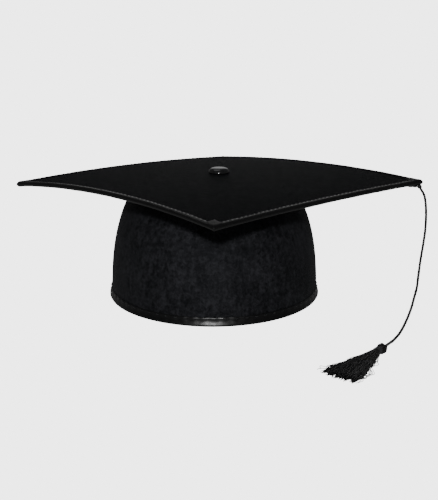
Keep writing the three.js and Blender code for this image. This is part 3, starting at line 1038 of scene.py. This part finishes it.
def make_rim_stitches():
    """The stitches through the rim's tape, near its upper edge."""
    height = RIM_TAPE_HEIGHT - RIM_STITCH_DROP

    def place(s):
        angle = s / RIM_REACH
        return crown_point(angle, height, -RIM_TAPE_PROUD - 0.02 * MM), crown_out(angle)

    stitch_line("rim_stitches", place, 2 * math.pi * RIM_REACH, RIM_STITCH_PITCH, 0.3, 0.3 * MM)


make_rim_stitches()


# ---- Inside of the crown ----

LINING_DEPTH = 2.4 * MM
LINING_THICKNESS = 0.5 * MM
LINING_UNDER = COVER_TOP + 2.3 * MM  # its top, below the board's mid-surface
LINING_FOLDS = 16
LINING_ROWS, LINING_COLUMNS = 44, 240
WALL_ROWS = LINING_ROWS * 2 // 3  # the others run in to the middle
LINING_RISE = 110 * MM  # about its length from rim to middle, for the weave


def lining_point(i, j, extra):
    """A point of the lining's outside, or with its thickness as extra, of its inside."""
    angle = 2 * math.pi * j / LINING_COLUMNS
    folds = 0.5 + 0.5 * math.cos(LINING_FOLDS * angle + 0.8 * math.sin(3 * angle))
    top = crown_top_height(angle, LINING_DEPTH + extra, LINING_UNDER + extra)
    if i <= WALL_ROWS:
        height = PANEL_LOW + (top - PANEL_LOW) * i / WALL_ROWS
        slack = 1.1 * MM * folds * math.sin(math.pi * i / WALL_ROWS)
        return crown_point(angle, height, LINING_DEPTH + extra + slack)
    share = (i - WALL_ROWS) / (LINING_ROWS - 1 - WALL_ROWS)
    place = crown_point(angle, top, LINING_DEPTH + extra) * (1, 1, 0) * (1 - 0.985 * share)
    sag = 1.6 * MM * folds * math.sin(math.pi * min(1, share * 1.1))
    place[2] = board_middle(place[0], place[1]) - LINING_UNDER - extra - sag
    return place


def lining_face(extra):
    return np.array([[lining_point(i, j, extra) for j in range(LINING_COLUMNS)] for i in range(LINING_ROWS)])


def make_lining():
    """A soft lining: walls with shallow folds that run up to a gathered middle."""
    outer = lining_face(0)
    lining = shell_piece("lining", "crown_lining", outer, lining_face(LINING_THICKNESS), True, LINING)
    cloth = [(WEAVE_RADIUS * 2 * math.pi * j / LINING_COLUMNS, LINING_RISE * i / LINING_ROWS, 0)
             for i in range(LINING_ROWS) for j in range(LINING_COLUMNS)]
    set_cloth(lining, cloth + cloth)


make_lining()

BAND_DEPTH = 3.1 * MM
BAND_THICKNESS = 0.8 * MM
BAND_REACH = 86 * MM  # about its mean radius


def make_sweatband():
    """A band sewn round the inside, with a rolled upper edge."""
    rows, columns = 16, 360
    outer, inner, cloth = [], [], []
    for i in range(rows):
        share = i / (rows - 1)
        height = BAND_LOW + (BAND_HIGH - BAND_LOW) * share
        roll = 0.35 * MM * math.exp(-((1 - share) / 0.06) ** 2)
        row_out, row_in = [], []
        for j in range(columns):
            angle = 2 * math.pi * j / columns
            slack = 0.25 * MM * wobble((math.cos(angle), math.sin(angle), height * 20), 0.16, 12)
            row_out.append(crown_point(angle, height, BAND_DEPTH))
            row_in.append(crown_point(angle, height, BAND_DEPTH + BAND_THICKNESS + roll + abs(slack)))
            cloth.append((angle * WEAVE_RADIUS, height, 0))
        outer.append(row_out)
        inner.append(row_in)
    band = shell_piece("inner_band", "sweatband", outer, inner, True, BAND_CLOTH)
    set_cloth(band, cloth + cloth)


def make_band_stitches():
    """The stitches under the band's rolled edge."""
    depth = BAND_DEPTH + BAND_THICKNESS + 0.15 * MM

    def place(s):
        angle = s / BAND_REACH
        return crown_point(angle, BAND_HIGH - 2.2 * MM, depth), -crown_out(angle)

    stitch_line("band_stitches", place, 2 * math.pi * BAND_REACH)


make_sweatband()
make_band_stitches()


# ---- Button ----

BUTTON_LOW, BUTTON_HIGH = corners("button_dome")
BUTTON_RADIUS = (BUTTON_HIGH[0] - BUTTON_LOW[0]) / 2
BUTTON_HEIGHT = BUTTON_HIGH[2] - BUTTON_LOW[2]


def make_button():
    """A low domed cap with a rolled rim, a step inside it, and a hollow underside."""
    wall = 1.1 * MM
    rim = 0.9 * MM
    step = 0.5 * MM  # from the rim up to the dome
    radius = BUTTON_RADIUS
    profile = [(radius - wall, 0.1 * MM), (radius - 0.7 * MM, 0), (radius - 0.25 * MM, 0.05 * MM),
               (radius, 0.4 * MM), (radius, rim), (radius - 0.12 * MM, rim + 0.35 * MM)]
    rise = BUTTON_HEIGHT - rim - step
    for angle in np.linspace(8, 90, 14):
        out = math.cos(math.radians(angle))
        profile.append((radius * 0.975 * out, rim + step + rise * (1 - out ** 4) ** 0.6))
    profile[-1] = (0, BUTTON_HEIGHT)
    hollow = BUTTON_HEIGHT - wall - rim
    for angle in np.linspace(90, 0, 10):
        a = math.radians(angle)
        profile.append(((radius - wall) * math.cos(a), rim + hollow * math.sin(a) ** 0.8))
    columns = 64
    points = [(r * math.cos(t), r * math.sin(t), BUTTON_LOW[2] + z)
              for r, z in profile for t in around(columns)]
    button = add_mesh("button_cap", points, ring_faces(len(profile), columns), BUTTON_PLASTIC,
                      "button")
    weld = button.modifiers.new("weld", "WELD")
    weld.merge_threshold = 0.01 * MM  # closes the dome's middle
    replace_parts(button, "button_dome")


make_button()


# ---- Corner tab and knot ----

def make_corner_tab():
    """A short folded tab sewn under the right corner, which holds the cord's knot."""
    low, high = corners("corner_tab")
    length, width = high[0] - low[0], high[1] - low[1]
    rows, columns = 25, 13
    upper, lower, cloth = [], [], []
    for i in range(rows):
        row_up, row_low = [], []
        for j in range(columns):
            a, b = 2 * i / (rows - 1) - 1, 2 * j / (columns - 1) - 1
            x = (low[0] + high[0]) / 2 + a * length / 2
            y = b * width / 2 * (1 - 0.12 * a * a)
            top = board_middle(x, y) - TAPE_HALF - 0.3 * MM
            edge = max(abs(a), abs(b)) ** 8
            thick = 1.1 * MM + 1.0 * MM * (1 - edge) + 0.12 * MM * math.cos(9 * a)
            row_up.append((x, y, top - 0.2 * MM * edge))
            row_low.append((x, y, top - 0.2 * MM * edge - thick))
            cloth.append((x, y, 0))
        upper.append(row_up)
        lower.append(row_low)
    tab = shell_piece("cord_tab", "corner_tab", upper, lower, False, EDGE_SATIN)
    set_cloth(tab, cloth + cloth)


def make_cord_knot():
    """The cord's own overhand knot, drawn up tight under the tab."""
    line = []
    for t in np.linspace(0, 2 * math.pi, 90):
        x = (math.sin(t) + 2 * math.sin(2 * t)) / 3
        y = (math.cos(t) - 2 * math.cos(2 * t)) / 3
        z = -math.sin(3 * t)
        line.append(KNOT + np.array([x * 1.25, y * 1.25, z * 0.75]) * 1.2 * MM)
    knot = tubes_piece("cord_overhand_knot", [line], [0.72 * MM], CORD_THREAD, "cap", 12)
    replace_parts(knot, "cord_knot")


make_corner_tab()
make_cord_knot()


# ---- CAD nodes that stay ----

KEPT = {"board_core": CARD, "crown_stiffener": CARD, "crown_top": CARD, "back_elastic": BAND_CLOTH,
        "button_rivet": STEEL, "button_washer": STEEL}
for node, material in KEPT.items():
    dress(node, material)


# ---- Stage and light ----

BACKDROP = 4.0  # how bright the white floor and backdrop look
ROOM_LIGHT = 0.11  # how much light comes from all round


def white_to_camera(s, lit, glow_kind, output):
    """Mixes a plain white glow, seen only directly, with what lights the object."""
    glow = s.node(glow_kind)
    glow.inputs["Strength"].default_value = BACKDROP
    mix = s.node("ShaderNodeMixShader")
    s.link(s.node("ShaderNodeLightPath").outputs["Is Camera Ray"], mix.inputs[0])
    s.link(lit, mix.inputs[1])
    s.link(glow.outputs[0], mix.inputs[2])
    s.link(mix.outputs[0], s.nodes[output].inputs["Surface"])


def make_stage():
    """A matt white floor that the cap's light is reflected from."""
    mesh = bpy.data.meshes.new("floor")
    size = 6.0
    mesh.from_pydata([(-size, -size, 0), (size, -size, 0), (size, size, 0), (-size, size, 0)], [],
                     [(0, 1, 2, 3)])
    floor = bpy.data.objects.new("floor", mesh)
    floor.location.z = -0.2 * MM
    bpy.context.collection.objects.link(floor)
    s = Shader("floor")
    s.set(Base_Color=(0.5, 0.5, 0.5, 1), Roughness=0.9, Specular_IOR_Level=0.1)
    white_to_camera(s, s.shader.outputs[0], "ShaderNodeEmission", "Material Output")
    mesh.materials.append(s.owner)


def make_light(name, place, aim, size, power):
    """A round light, its size in metres and its power in watts."""
    data = bpy.data.lights.new(name, "AREA")
    data.shape = "DISK"
    data.size = size
    data.energy = power
    light = bpy.data.objects.new(name, data)
    light.location = place
    light.rotation_mode = "QUATERNION"
    light.rotation_quaternion = (Vector(place) - Vector(aim)).to_track_quat("Z", "Y")
    bpy.context.collection.objects.link(light)


def make_world():
    s = Shader("studio", "worlds")
    background = s.nodes["Background"]
    background.inputs["Color"].default_value = (1, 1, 1, 1)
    background.inputs["Strength"].default_value = ROOM_LIGHT
    white_to_camera(s, background.outputs[0], "ShaderNodeBackground", "World Output")
    bpy.context.scene.world = s.owner


make_stage()
make_world()
make_light("flash", (-0.02, -1.5, 0.62), (0, 0, 0.05), 0.1, 15)
make_light("window", (0, 1.7, 0.55), (0, 0, 0.1), 0.9, 0.9)
make_light("top", (-0.3, 0.3, 1.5), (0, 0, 0.05), 1.0, 2)
